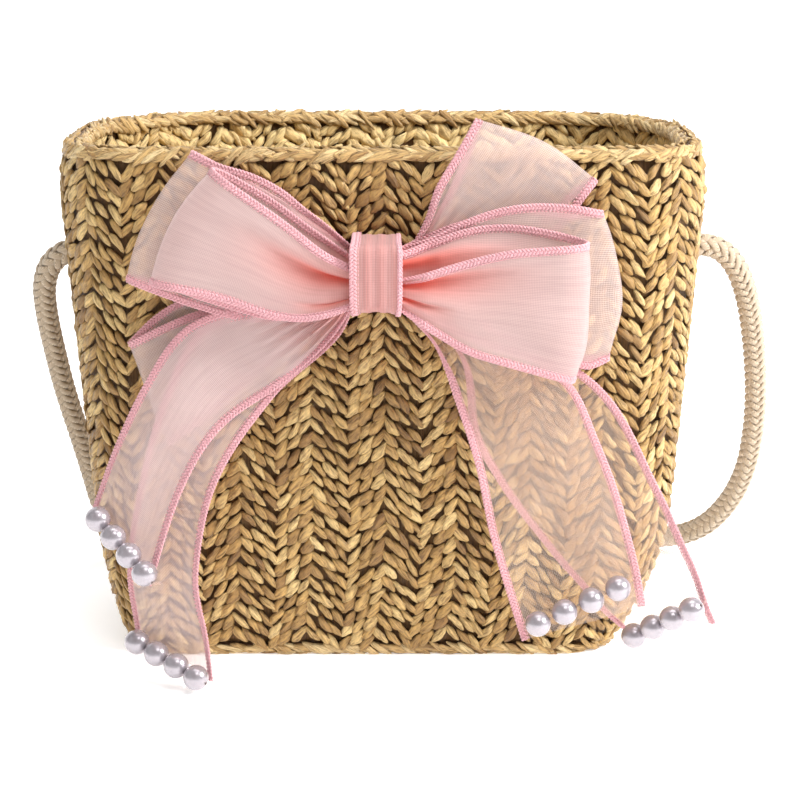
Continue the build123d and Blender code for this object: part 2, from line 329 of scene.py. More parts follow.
# ---- straw weave
COLUMN = 0.01145              # from the point of a V to the next peak
FIRST_PEAK = 0.00075          # the peak nearest the front's middle
EVEN_REACH = 0.062            # the columns keep their width this far to each side
COLUMNS = 23                  # from the front's middle to the back's
ROW = 0.0044
PEAK_RISE = 0.0046            # how much higher a row is at a peak than at the point of a V
LEAVES = 3                    # slanted leaves in each column of a row
LEAF_SLANT = math.radians(50)
FLOOR_GAP = 0.0001            # straws that rest on the floor are flattened here
RISING_WIDTH, FALLING_WIDTH = 1.15, 0.92     # leaves that rise to the right are the wider ones


def column_to_distance(q, z, inset=0.0):
    """The distance round the basket of column q: even at the front, fitted to the back."""
    reach = half_round(z, inset)
    side = np.where(q < 0, -1.0, 1.0)
    even_columns = (EVEN_REACH - side * FIRST_PEAK) / COLUMN
    beyond = np.abs(q) - even_columns
    spread = EVEN_REACH + beyond * (reach - EVEN_REACH) / (COLUMNS - even_columns)
    return np.where(beyond < 0, FIRST_PEAK + q * COLUMN, side * spread)


def leaf_rings(place, axis, across, out, length, width, thick, lift, rings, around):
    """Twisted paper leaves: pointed lower ends that stand proud, upper ends tucked behind."""
    count = len(place)
    t = np.linspace(0, 1, rings)[None, :, None]
    angle = np.linspace(0, 2 * np.pi, around, endpoint=False)[None, None, :]
    phase = rng.uniform(0, 2 * np.pi, (count, 1, 1))
    twist = (t - 0.5) * rng.uniform(0.3, 1.3, (count, 1, 1)) + rng.normal(0, 0.22, (count, 1, 1))
    peak = rng.uniform(0.42, 0.62, (count, 1, 1))
    warped = np.where(t < peak, t / (2 * peak), 0.5 + (t - peak) / (2 * (1 - peak)))
    swell = np.clip(4 * (0.02 + 0.97 * warped) * (0.99 - 0.97 * warped), 0, 1) ** 0.55
    spiral = rng.uniform(3.5, 6.5, (count, 1, 1)) * t
    crease = (1 + 0.17 * np.cos(3 * angle + phase + spiral)
              + 0.12 * np.cos(5 * angle - 2 * phase + 2 * spiral) + 0.09 * np.sin(9 * t + 3 * phase))
    flat = width[:, None, None] * swell * crease * np.cos(angle)
    high = thick[:, None, None] * swell * crease * np.sin(angle)
    v = flat * np.cos(twist) - high * np.sin(twist)
    w = flat * np.sin(twist) + high * np.cos(twist)
    u = (t - 0.5) * length[:, None, None] + 0 * angle
    bow = rng.normal(0, 0.00022, (count, 1, 1)) * np.sin(np.pi * t)
    w = w + lift[0] + (lift[1] - lift[0]) * t + lift[2] * np.sin(np.pi * t)
    points = (place[:, None, None] + u[..., None] * axis[:, None, None]
              + (v + bow)[..., None] * across[:, None, None] + w[..., None] * out[:, None, None])
    points[..., 2] = np.maximum(points[..., 2], FLOOR_GAP)
    return points


def weave_leaves(q, z, slant_up, inset, inward, size, rings, around, lift):
    """Leaf rings for columns q at heights z on the wall's outer or inner face."""
    s = column_to_distance(q, z, inset)
    place, along, up, out = wall_frames(s, z, inset)
    pitch = np.abs(column_to_distance(q + 0.01, z, inset) - s) / (0.01 * COLUMN)
    count = len(q)
    slant = np.where(slant_up, 1, -1) * (LEAF_SLANT + rng.normal(0, 0.075, count))
    upward = np.sign(slant)[:, None]
    axis = unit((np.cos(slant)[:, None] * along + np.sin(slant)[:, None] * up) * upward)
    if inward:
        out = -out
    across = np.cross(out, axis)
    length = size[0] * rng.uniform(0.9, 1.12, count)
    width = size[1] * rng.uniform(0.74, 1.20, count) * np.clip(pitch, 0.8, 1.05)
    width = width * np.where(slant_up, RISING_WIDTH, FALLING_WIDTH)
    thick = size[2] * rng.uniform(0.85, 1.1, count)
    return leaf_rings(place, axis, across, out, length, width, thick, lift, rings, around)


def clear_of_rope(place, reach):
    """Which places are off the line through both rope holes."""
    return np.hypot(place[:, 1] - PIVOT[1], place[:, 2] - PIVOT[2]) > reach


def weave_grid(low, high, hole):
    """Column, height and slant of every leaf between two heights, uneven and off the rope holes."""
    columns = np.repeat(np.arange(-COLUMNS, COLUMNS), LEAVES) + np.tile(
        (np.arange(LEAVES) + 0.5) / LEAVES, 2 * COLUMNS)
    rows = np.arange(low - 2 * ROW, high + 2 * ROW, ROW)
    q, base = (grid.ravel() for grid in np.meshgrid(columns, rows))
    z = base + PEAK_RISE * np.abs(q % 2 - 1)
    slant_up = np.floor(q) % 2 == 1
    q = q + rng.normal(0, 0.034, len(q))
    z = z + rng.normal(0, 0.00034, len(z))
    keep = (z > low) & (z < high) & clear_of_rope(outline_point(column_to_distance(q, z), z), hole)
    return q[keep], z[keep], slant_up[keep]


def weave_piece(name, q, z, slant_up, palest=0.0, **how):
    """One stretch of the weave as a piece, with a straw tint of its own for each leaf."""
    rings = weave_leaves(q, z, slant_up, **how)
    tint = (palest + (1 - palest) * rng.beta(2.2, 2.2, len(q)))[:, None, None]
    return tubes(name, rings, {"tint": tint}, "basket_wall")


ROPE_HOLE = 0.0068            # no leaf's middle is nearer than this to the rope holes' line
INNER_HOLE = 0.0080           # and on the inner face, where the rope is knotted
WARP_HOLE = 0.0046            # the hole in the upright straws between the faces
WALL_LOW = BRAID
WALL_TOP = RIM_TOP - BRAID
straw_pieces = []
OUTER_SIZE = (0.0072, 0.00134, 0.00082)
q, z, slant_up = weave_grid(WALL_LOW - 0.0004, WALL_TOP + 0.0011, ROPE_HOLE)
STRETCHES = ("back_left", "side_left", "front_left", "front_right", "side_right", "back_right")
for i, stretch in enumerate(STRETCHES):
    part = np.floor((q + COLUMNS) / (2 * COLUMNS / len(STRETCHES))) % len(STRETCHES) == i
    straw_pieces.append(weave_piece(f"weave_{stretch}", q[part], z[part], slant_up[part], inset=0.0,
                                    inward=False, size=OUTER_SIZE, rings=11, around=10,
                                    lift=(0.00105, 0.0001, 0.0003)))
INNER_SIZE = (0.0074, 0.0019, 0.0008)
q, z, slant_up = weave_grid(WALL_LOW + 0.0004, WALL_TOP + 0.0008, INNER_HOLE)
for half, part in (("front", np.abs(q) < COLUMNS / 2), ("back", np.abs(q) >= COLUMNS / 2)):
    # The inner face's leaves get a paler tint floor (palest 0.7) and a paler straw: painted light on the
    # basket's inside.
    straw_pieces.append(weave_piece(f"weave_inside_{half}", q[part], z[part], slant_up[part],
                                    palest=0.7, inset=WALL - 0.0004, inward=True, size=INNER_SIZE,
                                    rings=7, around=6, lift=(0.0006, 0.0, 0.0002)))


def warp_shell():
    """The upright straws inside the wall: a ribbed band between the two faces of the weave."""
    steps_round, steps_up, rib = 420, 70, 0.0004
    z = np.linspace(WALL_LOW - 0.001, WALL_TOP + 0.001, steps_up)
    skins = []
    for inset, way in ((0.0011, 1), (WALL - 0.0012, -1)):
        s = np.linspace(-1, 1, steps_round, endpoint=False)[None, :] * half_round(z, inset)[:, None]
        zz = np.broadcast_to(z[:, None], s.shape)
        place, _, _, out = wall_frames(s, zz, inset)
        ribs = rib * way * np.cos(np.arange(steps_round) * 2 * np.pi / 4)[None, :, None]
        skins.append(place + out * ribs)
    rings = np.concatenate((skins[0], skins[1][::-1]))
    index = np.arange(rings.shape[0] * steps_round).reshape(rings.shape[0], steps_round)
    index = np.concatenate((index, index[:, :1]), 1)
    index = np.concatenate((index, index[:1]), 0)
    quads = grid_quads(index)
    flat = rings.reshape(-1, 3)
    quads = quads[clear_of_rope(flat[quads].mean(1), WARP_HOLE)]
    mesh = fill_mesh(bpy.data.meshes.new("warp_straws"), flat, quads.ravel(), np.full(len(quads), 4),
                     {"tint": np.zeros(len(flat)), "along": flat[:, 2] / RIM_TOP,
                      "round": np.tile(np.arange(steps_round) / 4 % 1, rings.shape[0])})
    return riding(linked("warp_straws", mesh), "root", "basket_wall")


warp = warp_shell()


def cord_core(name, s_inset, z, radius, node):
    """The plain round core of a braided row that runs all round the basket at height z."""
    path, along, _, _ = wall_frames(*level_ring(480, z, s_inset), s_inset)
    up = np.broadcast_to(np.array([0.0, 0, 1]), path.shape)
    rings = sweep_rings(path, unit(np.cross(along, up)), up, radius * circle(12))
    return tubes(name, rings, {"tint": 0.1}, node, closed=True)


def braid_leaves(name, s_inset, z, radius, face, slant, node):
    """Straws laid slantwise along one face of a braided row; face is how far it is turned up."""
    pitch = 0.0031
    count = round(2 * half_round(np.array([z]), s_inset)[0] / pitch)
    s, height = level_ring(count, z, s_inset)
    path, along, _, _ = wall_frames(s + rng.normal(0, 0.0004, count), height, s_inset)
    up = np.broadcast_to(np.array([0.0, 0, 1]), path.shape)
    out = math.cos(face) * unit(np.cross(along, up)) + math.sin(face) * up
    across = np.cross(out, along)
    lean = slant + rng.normal(0, 0.17, count)
    axis = np.cos(lean)[:, None] * along + np.sin(lean)[:, None] * across
    place = path + out * radius * rng.uniform(0.66, 0.84, count)[:, None]
    rings = leaf_rings(place, axis, np.cross(out, axis), out, 0.0078 * rng.uniform(0.85, 1.2, count),
                       radius * 0.64 * rng.uniform(0.75, 1.2, count), np.full(count, 0.00066),
                       (0.0004, -0.0002, 0.0001), 9, 8)
    return tubes(name, rings, {"tint": rng.beta(2.2, 2.0, count)[:, None, None]}, node)


CORD_RADIUS = BRAID * 0.40
RIM_LEVEL = RIM_TOP - BRAID / 2
FOOT_LEVEL = BRAID / 2 - 0.00005
INNER = WALL - 0.0003
braid_cores = [cord_core("rim_core_outer", 0.0002, RIM_LEVEL, CORD_RADIUS * 0.86, "rim_braid"),
               cord_core("rim_core_inner", INNER, RIM_LEVEL, CORD_RADIUS * 0.86, "rim_braid"),
               cord_core("foot_core", 0.0010, FOOT_LEVEL, BRAID * 0.38, "base_edge_braid")]
braid_pieces = [
    braid_leaves("rim_straws_outer", 0.0002, RIM_LEVEL, CORD_RADIUS, 0.0, 0.42, "rim_braid"),
    braid_leaves("rim_straws_top", 0.0006, RIM_LEVEL, CORD_RADIUS, 0.9, -0.40, "rim_braid"),
    braid_leaves("rim_straws_inner_top", INNER - 0.0004, RIM_LEVEL, CORD_RADIUS, math.pi - 0.9, 0.42,
                 "rim_braid"),
    braid_leaves("rim_straws_inner", INNER, RIM_LEVEL, CORD_RADIUS, math.pi, -0.42, "rim_braid"),
    braid_leaves("foot_straws", 0.0008, FOOT_LEVEL, BRAID * 0.40, 0.05, -0.42, "base_edge_braid"),
    braid_leaves("foot_straws_under", 0.0008, FOOT_LEVEL, BRAID * 0.38, -math.pi / 2, 0.3,
                 "base_edge_braid"),
]


def floor_leaves(name, z, way, inset):
    """The base's straw rows on one of its faces, slanted one way and then the other."""
    width, depth, middle, _, _ = (float(v) for v in outline_sizes(np.array(BRAID), inset))
    rows = np.arange(-depth + 0.002, depth - 0.001, ROW)
    across = np.arange(-width + 0.003, width - 0.002, 0.0042)
    x, y = (grid.ravel() for grid in np.meshgrid(across, rows))
    slant = np.where(np.round((y + depth) / ROW) % 2 == 0, 1, -1) * math.radians(28)
    corner = FRONT_CORNER[0]
    far = np.hypot(np.maximum(np.abs(x) - width + corner, 0),
                   np.maximum(np.abs(y) - depth + corner, 0))
    inside = far < corner - 0.001
    x, y, slant = x[inside] + middle, y[inside], slant[inside]
    count = len(x)
    place = np.stack((x, y, np.full(count, z)), 1)
    axis = np.stack((np.cos(slant), np.sin(slant), 0 * slant), 1)
    out = np.broadcast_to(np.array([0.0, 0, way]), place.shape)
    rings = leaf_rings(place, axis, np.cross(out, axis), out, 0.0058 * rng.uniform(0.9, 1.1, count),
                       0.0016 * rng.uniform(0.85, 1.1, count), np.full(count, 0.0007),
                       (0.0002, 0.0, 0.0001), 7, 6)
    return tubes(name, rings, {"tint": rng.beta(2, 2.6, count)[:, None, None]}, "basket_base")


straw_pieces += [floor_leaves("floor_weave_inside", BRAID - 0.0001, 1, 0.0025),
                 floor_leaves("floor_weave_under", 0.0012, -1, 0.0015)]


def base_plate():
    """The base's inner straws: a thin plate between its two woven faces."""
    inset = 0.0016
    rings = []
    for z in (0.0014, 0.0038):
        edge = outline_point(*level_ring(120, BRAID, inset), inset)
        edge[:, 2] = z
        rings.append(edge)
    return tubes("floor_straws", np.stack(rings)[None], {"tint": 0.0}, "basket_base")


plate = base_plate()


# ---- ribbon
RIBBON_WIDTH = 0.038
EDGE_STEP = 0.00030
EDGE_SWAY = 0.00078
EDGE_PITCH = 0.0034


def mm(points):
    """Points written in millimetres, in metres."""
    return np.array(points, float) * 0.001


def curve_through(points, count):
    """A smooth curve through given points, as evenly spaced points."""
    far = np.concatenate(([0], np.cumsum(np.linalg.norm(np.diff(points, axis=0), axis=1))))
    slope = np.gradient(points, far, axis=0)
    at = np.linspace(0, far[-1], count)
    i = np.clip(np.searchsorted(far, at, side="right") - 1, 0, len(points) - 2)
    span = (far[i + 1] - far[i])[:, None]
    x = (at - far[i])[:, None] / span
    return ((2 * x**3 - 3 * x**2 + 1) * points[i] + (x**3 - 2 * x**2 + x) * span * slope[i]
            + (3 * x**2 - 2 * x**3) * points[i + 1] + (x**3 - x**2) * span * slope[i + 1])


def sheet_normals(grid):
    """Unit normals of a grid of points."""
    return unit(np.cross(np.gradient(grid, axis=0), np.gradient(grid, axis=1)))


def crumple(grid, size, amount, seed):
    """Moves a sheet's points along its normals by a few soft waves."""
    waves = np.random.default_rng(seed)
    lift = np.zeros(grid.shape[:2])
    for _ in range(7):
        direction = waves.normal(0, 1, 3) / size
        lift += np.sin(grid @ direction * 2 * np.pi + waves.uniform(0, 6.28)) * waves.uniform(0.3, 1)
    return grid + sheet_normals(grid) * (lift * amount / 3)[..., None]


def ribbon_sheet(name, grid, nodes, fold, body="root", blend=None,
                 edge=(1, 1), width=RIBBON_WIDTH):
    """One thin sheet of ribbon with its two stitched edges, in place of its CAD node."""
    rows, columns = grid.shape[:2]
    index = np.arange(rows * columns).reshape(rows, columns)
    quads = grid_quads(index)
    run = np.concatenate(([0], np.cumsum(np.linalg.norm(np.diff(grid.mean(1), axis=0), axis=1))))
    fields = {"fold": fold, "warp": np.broadcast_to(np.linspace(0, width, columns), (rows, columns)),
              "weft": np.broadcast_to(run[:, None], (rows, columns))}
    mesh = fill_mesh(bpy.data.meshes.new(name), grid.reshape(-1, 3), quads.ravel(),
                     np.full(len(quads), 4), fields)
    sheet = linked(name, mesh)
    edges = stitched_edges(name + "_edges", grid, edge)
    for piece in (sheet, edges):
        if blend:
            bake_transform(piece)
        else:
            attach(piece, body)
    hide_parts(nodes)
    return sheet, edges


def stitched_edges(name, grid, widths=(1, 1)):
    """Overlocked edges: a flat plait of thread along each side of a ribbon, and a fine row inside it."""
    lengths = [np.linalg.norm(np.diff(grid[:, k], axis=0), axis=1).sum() for k in (0, -1)]
    count = round(max(lengths) / EDGE_STEP)
    normals = sheet_normals(grid)
    outline = circle(8) * (0.00040, 0.00031)
    rings = []
    for k, inward, width in ((0, 1, widths[0]), (-1, -1, widths[1])):
        far = np.concatenate(([0], np.cumsum(np.linalg.norm(np.diff(grid[:, k], axis=0), axis=1))))
        even = np.linspace(0, far[-1], count)

        def along_edge(values):
            return np.stack([np.interp(even, far, values[:, axis]) for axis in range(3)], 1)

        path = along_edge(grid[:, k])
        out = unit(along_edge(normals[:, k]))
        side = unit(np.cross(unit(np.gradient(path, axis=0)), out))
        towards = along_edge(grid[:, k + inward] - grid[:, k])
        side = side * np.sign((side * towards).sum(1, keepdims=True))
        rings.append(plait(path + side * 0.0010 * width, even, side, out, EDGE_SWAY * width, 0.00020,
                           EDGE_PITCH, outline))
        ripple = 0.00022 * np.sin(even * 2 * np.pi / 0.0012)
        row = path + side * (0.00235 * width) + out * ripple[:, None]
        rings.append(sweep_rings(row, side, out, outline * 0.40))
    rings = np.concatenate(rings)
    tint = np.linspace(0.2, 0.8, len(rings))[:, None, None]
    return linked(name, tubes_mesh(name, rings, {"tint": tint}))


GATHER_DEPTH, GATHERS = 0.0013, 4.5     # the fine pleats where a loop is drawn into the band


def ribbon_loop(name, front, back, planes, bow, pleats, length, seed, gathers=GATHERS, gather_end=0.42,
                gather_depth=GATHER_DEPTH):
    """A loop: a front ply out from the knot, a rounded fold, and a back ply in to the knot again.

    front and back are each the two edges of a ply in XZ, from the knot to the fold, in millimetres.
    pleats are (where across, how wide, how deep, how far out) from the knot.
    """
    steps, across = 52, 57
    v = np.linspace(0, 1, across)[None, :]
    u = np.linspace(0, 1, steps)[:, None]
    near, far = planes
    middle, half = (near + far) / 2, (far - near) / 2
    reach = half * np.clip(0.62 + 2.6 * u, 0, 1) * np.sqrt(1 - np.clip((u - 0.84) / 0.16, 0, 1) ** 2)
    plies, fold_and_painted_shade = [], []
    for edges, way in ((front, -1), (back, 1)):
        edge_a, edge_b = (curve_through(mm([(x, 0, z) for x, z in edge]), steps) for edge in edges)
        ply = edge_a[:, None] * (1 - v[..., None]) + edge_b[:, None] * v[..., None]
        outward = unit((edge_a[-1] + edge_b[-1]) / 2 - (edge_a[0] + edge_b[0]) / 2)
        ply = ply + outward * (bow * np.sin(np.pi * v) * u**3)[..., None]
        crown = 0.18 * half * np.sin(np.pi * v) * np.sin(np.pi * np.clip(u * 1.1, 0, 1))
        depth, fold = np.zeros((steps, across)), np.zeros((steps, across))
        for centre, spread, deep, out_to in pleats:
            fade = np.clip(1 - u / out_to, 0, 1) ** 1.3
            spread_here = spread * (0.55 + 0.9 * u) * np.where(v < centre, 0.42, 1.35)
            dip = np.exp(-(((v - centre) / spread_here) ** 2)) * fade
            depth += deep * dip * np.clip(0.35 + 3 * u, 0, 1)
            fold += dip * (deep > 0)
        deepest = np.minimum(gather_depth, 0.6 * reach)
        ripple = (deepest * np.sin(v * gathers * 2 * np.pi + 3 * u + seed)
                  * np.clip(1 - u / gather_end, 0, 1))
        ply[..., 1] = middle + way * (reach + crown) - way * (depth + ripple)
        plies.append(ply)
        # The fold value deepens the colour to coral and thickens the cloth: denser cloth in the pleats,
        # and painted shade in the pleat valleys, along the gathers and near the knot.
        gather_valley_shade = np.clip(ripple / gather_depth, 0, 1)
        fold_and_painted_shade.append(np.clip(fold + 0.34 * np.clip(1 - u / 0.62, 0, 1) ** 1.5 + 0.08 * gather_valley_shade, 0, 1))
    grid = np.concatenate((plies[0], plies[1][-2::-1]))
    fold = np.concatenate((fold_and_painted_shade[0], fold_and_painted_shade[1][-2::-1]))
    grid = crumple(grid, 0.045, 0.0007, seed)
    return ribbon_sheet(name, grid, name.replace("ribbon", "loop"), fold)


# Each loop's plies: (edge, edge) in XZ from the knot to the fold.
LOOPS = {
    "left_ribbon_front": dict(
        front=([(-9.2, 133.5), (-18.2, 139.3), (-26.8, 146.2), (-38.1, 154.4), (-50.4, 163)],
               [(-9.2, 121.2), (-15.6, 118.8), (-24.1, 117.1), (-32.8, 118.2), (-47.2, 123.1),
                (-58.6, 125.8), (-70, 127.4)]),
        back=([(-9.2, 135.5), (-20, 143), (-35, 154), (-50.4, 163)],
              [(-9.2, 119.6), (-20, 116.2), (-32, 115.2), (-46, 118.6), (-58, 122.6), (-70, 127.4)]),
        planes=(-0.0736, -0.0622), bow=0.0036, length=0.128, seed=3,
        gathers=2.5, gather_depth=0.0006,
        pleats=[(0.34, 0.22, 0.0076, 0.80), (0.78, 0.12, 0.0040, 0.36)]),
    "left_ribbon_rear": dict(
        front=([(-9.2, 138.1), (-16.3, 144.5), (-23.5, 150), (-29.7, 155.1), (-38.4, 159.7),
                (-49.8, 163.3), (-57.2, 166.9)],
               [(-9.2, 119.9), (-24, 115.8), (-40, 114.6), (-58.7, 119.3), (-65.1, 121.7),
                (-77.7, 126.4)]),
        back=([(-9.2, 137), (-25, 148), (-40, 157), (-57.2, 166.9)],
              [(-9.2, 121), (-30, 117), (-50, 119.5), (-66, 123.5), (-77.7, 126.4)]),
        planes=(-0.0609, -0.0563), bow=0.0030, length=0.138, seed=5,
        pleats=[(0.35, 0.12, 0.0012, 0.5), (0.75, 0.1, 0.0010, 0.4)]),
    "left_ribbon_lower": dict(
        front=([(-9.2, 125.5), (-36, 120.8), (-54.8, 117.4), (-66, 113), (-78.5, 106.6)],
               [(-9.2, 119.8), (-30, 103.6), (-50, 86.2), (-66.6, 73.4)]),
        back=([(-9.2, 126), (-40, 122), (-64.4, 118.3), (-70.6, 114.2), (-78.5, 106.6)],
              [(-9.2, 120.5), (-30, 104.4), (-50, 87), (-66.6, 73.4)]),
        planes=(-0.0551, -0.0513), bow=0.0004, length=0.146, seed=8, gathers=6, gather_end=0.9,
        pleats=[(0.4, 0.15, 0.0010, 0.5)]),
    "right_ribbon_front": dict(
        front=([(5.7, 129.6), (12, 131.4), (18, 133.4), (24.9, 135.5), (39.8, 138.9), (48.2, 139.6),
                (61.6, 140.4)],
               [(5.7, 119.9), (15.7, 112.9), (25.7, 107.1), (37.2, 103.4), (48.7, 100), (58.8, 96.9)]),
        back=([(5.7, 136.6), (15.7, 140.2), (22.6, 142.7), (30.1, 144.2), (40.1, 144.5),
               (50, 143), (61.6, 140.4)],
              [(5.7, 121.0), (16, 114.4), (26, 109), (37, 105), (48.7, 101.2), (58.8, 96.9)]),
        planes=(-0.0736, -0.0622), bow=0.0024, length=0.122, seed=13,
        gathers=2.5, gather_depth=0.0006,
        pleats=[(0.20, 0.18, 0.0076, 0.86), (0.58, 0.12, 0.0050, 0.34)]),
    "right_ribbon_rear": dict(
        front=([(5.7, 137.6), (15.8, 140.8), (25.7, 146), (34.5, 149.1), (42.9, 150.6),
                (54.6, 150.6), (61.6, 149.7), (66.7, 148.5)],
               [(5.7, 120.6), (24, 113.6), (40, 107.6), (54, 102.6), (63.1, 99.6), (69.8, 101.8)]),
        back=([(5.7, 137), (25, 145), (43, 149), (58, 147.6), (66.7, 148.5)],
              [(5.7, 121.4), (30, 112), (50, 104.6), (63, 101), (69.8, 101.8)]),
        planes=(-0.0609, -0.0563), bow=0.0046, length=0.142, seed=17,
        pleats=[(0.4, 0.12, 0.0012, 0.5), (0.75, 0.1, 0.0010, 0.4)]),
    "right_ribbon_upper": dict(
        front=([(5.7, 132.6), (8.8, 137.4), (13.1, 145.4), (16.4, 154.9), (22.7, 165.8), (28.4, 176)],
               [(5.7, 125.5), (24, 131), (42, 137.6), (55, 142.6), (61.3, 151), (65.7, 156.7)]),
        back=([(5.7, 132), (12, 139), (18.6, 150), (24, 163), (28.4, 176)],
              [(5.7, 126), (24, 132.4), (42, 138), (52, 144.4), (59, 151.6), (65.7, 156.7)]),
        planes=(-0.0555, -0.0527), bow=0.0030, length=0.120, seed=21, gathers=6, gather_end=0.7,
        pleats=[(0.3, 0.15, 0.0008, 0.5), (0.7, 0.12, 0.0007, 0.4)]),
}
# Each tail's left and right edges, from the knot over the hinge line and down to the hem.
TAILS = {
    "left_tail_front": dict(
        left=[(-14, -61.3, 124.5), (-38, -61.2, 120.5), (-59, -60.2, 113.4),
              (-73, -60.5, 95), (-82, -59, 77),
              (-87.5, -56.5, 64), (-91.5, -54.5, 52)],
        right=[(-9.4, -61.3, 119.8), (-10.6, -61.2, 117.4), (-13, -60.2, 113.4), (-27, -61.8, 98),
               (-49, -64.5, 82), (-61.5, -68, 63), (-70.5, -73, 34)],
        length=0.112, seed=31),
    "left_tail_rear": dict(
        left=[(-13, -61.2, 123), (-34, -60.6, 119), (-54, -58.6, 113.4),
              (-67, -57.5, 92), (-76, -56, 62),
              (-80.5, -55.5, 34), (-79, -54.5, 13)],
        right=[(-9.3, -61.1, 119.2), (-9.8, -60.4, 117), (-11, -58.6, 113.4), (-34, -61, 90),
               (-52.3, -65.5, 61.5), (-56.8, -70, 37), (-52.2, -73, 3.4)],
        length=0.138, seed=37),
    "right_tail_front": dict(
        left=[(5.9, -61.3, 120.4), (9.4, -61.2, 115.4), (14.8, -60.2, 109),
              (22.4, -62, 90), (28.9, -64, 70),
              (33.5, -66, 48), (43.4, -69, 15)],
        right=[(9, -61.3, 127), (33, -61.2, 113), (60, -60.2, 92.5), (67, -62.5, 77), (73, -64.5, 61.5),
               (78.5, -66.3, 42), (81.5, -68, 26.4)],
        length=0.126, seed=41, gathered=0.25),
    "right_tail_rear": dict(
        left=[(6, -61.1, 121), (14, -60.4, 113), (22, -58.6, 106.3), (28.4, -58.4, 77.4), (44, -57, 51),
              (60, -54.5, 30), (75.5, -53, 12.5)],
        right=[(9, -61.1, 129), (42, -60.6, 111.5), (72, -58.8, 88.1), (80, -61.5, 74), (90, -64.8, 53),
               (97.2, -68.5, 37), (103.2, -71.5, 21.7)],
        length=0.140, seed=43, gathered=0.25),
}
BLEND_REACH = 0.003


def hinge_blend(body):
    """Two points a little above and below a tail's hinge axis."""
    joint = next(j for j in frame["joints"] if j["child"] == body)
    at, axis = np.array(joint["pos_m"]), np.array(joint["axis"])
    above = np.cross(axis, (0, 1, 0))
    above = above * np.sign(above[2])
    return at + above * BLEND_REACH, at - above * BLEND_REACH


def ribbon_tail(name, left, right, length, seed, gathered=0.7):
    """A tail: a limp sheet from the knot, over its hinge line and down to a cut hem."""
    steps, across = 130, 31
    v = np.linspace(0, 1, across)[None, :, None]
    edges = [curve_through(mm(edge), steps) for edge in (left, right)]
    grid = edges[0][:, None] * (1 - v) + edges[1][:, None] * v
    u = np.linspace(0, 1, steps)[:, None]
    gather = np.clip(1 - u / 0.26, 0, 1) ** 1.5
    wave = 0.0019 * np.sin(v[..., 0] * 44) * np.clip(u * 14, 0, 1) * np.clip(1 - u / 0.30, 0, 1)
    sway = 0.0011 * np.sin(v[..., 0] * 6.6 + seed) * np.clip(u * 1.6 - 0.3, 0, 1)
    grid = grid + sheet_normals(grid) * (wave + sway)[..., None]
    grid = crumple(grid, 0.05, 0.0010, seed)
    body = name.split("_")[0] + "_tails"
    return ribbon_sheet(name.replace("tail", "streamer"), grid, name, gathered * gather + 0 * v[..., 0],
                        body, blend=hinge_blend(body))


loop_pieces = {name: ribbon_loop(name, **how) for name, how in LOOPS.items()}
tail_pieces = {name: ribbon_tail(name, **how) for name, how in TAILS.items()}


def knot_band():
    """The strip of ribbon wound round the bow's middle, with a stitched edge down each side."""
    low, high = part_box("bow_knot_band")
    centre = (low + high) / 2
    half_y, half_z = (high.y - low.y) / 2, (high.z - low.z) / 2
    turns, across, corner = 150, 41, 0.0055
    angle = np.linspace(0, 2 * np.pi, turns)[:, None]
    v = np.linspace(0, 1, across)[None, :]
    power = 2 / 6.5
    y = centre.y - half_y * np.sign(np.cos(angle)) * np.abs(np.cos(angle)) ** power
    z = centre.z + half_z * np.sign(np.sin(angle)) * np.abs(np.sin(angle)) ** power
    hollow = 0.0010 * np.sin(np.pi * v) * np.clip(-1.4 * np.sin(angle), 0, 1)
    crease = (0.00012 * np.sin(v * 23 + 0.5 * np.sin(angle))
              + 0.00006 * np.sin(v * 83 + 1 + np.cos(angle)))
    grow = 1 + crease / half_z
    x = low.x + (high.x - low.x) * v + 0.0006 * np.sin(angle * 2 + 1) * (v - 0.5)
    grid = np.stack((x + 0 * angle, centre.y + (y - centre.y) * grow,
                     centre.z + (z - centre.z) * grow + hollow), -1)
    # Fold value of the band: a steady 0.36 for its own deeper tint, with stripes that are painted shade
    # along its creases and fine lines.
    fold = np.broadcast_to(0.36 + 0.05 * np.sin(v * 23) + 0.07 * np.sin(v * 120), grid.shape[:2])
    sheet, edges = ribbon_sheet("bow_band", grid, "bow_knot_band", fold,
                                edge=(1.1, 0.55), width=0.0158)
    return sheet, edges


band_pieces = knot_band()


# ---- knots
def rope_knot(name, node, way):
    """The stopper knot at one end of the rope: the plait wound over itself."""
    low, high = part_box(node)
    centre = np.array((low + high) / 2)
    half = (high.x - low.x) / 2
    t = np.linspace(0, 2 * np.pi, 240, endpoint=False)
    ring = 0.0043 + 0.0014 * np.cos(3 * t)
    path = centre + np.stack((way * (half - 0.0028) * np.sin(3 * t), ring * np.cos(2 * t),
                              ring * np.sin(2 * t)), 1)
    _, side, out = turning_frames(path, (0, 0, 1), closed=True)
    spin = -np.arctan2(np.dot(np.cross(out[0], out[-1]), np.cross(side[0], out[0])), out[0] @ out[-1])
    turn = (np.arange(len(t)) / len(t) * spin)[:, None]
    side, out = np.cos(turn) * side + np.sin(turn) * out, np.cos(turn) * out - np.sin(turn) * side
    outline = lobed_outline(0.0026, 0.0022, STRAND_LOBES, 0.13, 24)
    return tubes(name, sweep_rings(path, side, out, outline), {"tint": 0.4}, node, body="handle",
                 closed=True)


knots = [rope_knot("rope_end_knot_left", "rope_knot_left", -1),
         rope_knot("rope_end_knot_right", "rope_knot_right", 1)]


# ---- materials
def srgb(r, g, b):
    """A linear colour from the usual 0-255 values, all above 10."""
    return tuple(((c / 255 + 0.055) / 1.055) ** 2.4 for c in (r, g, b)) + (1,)


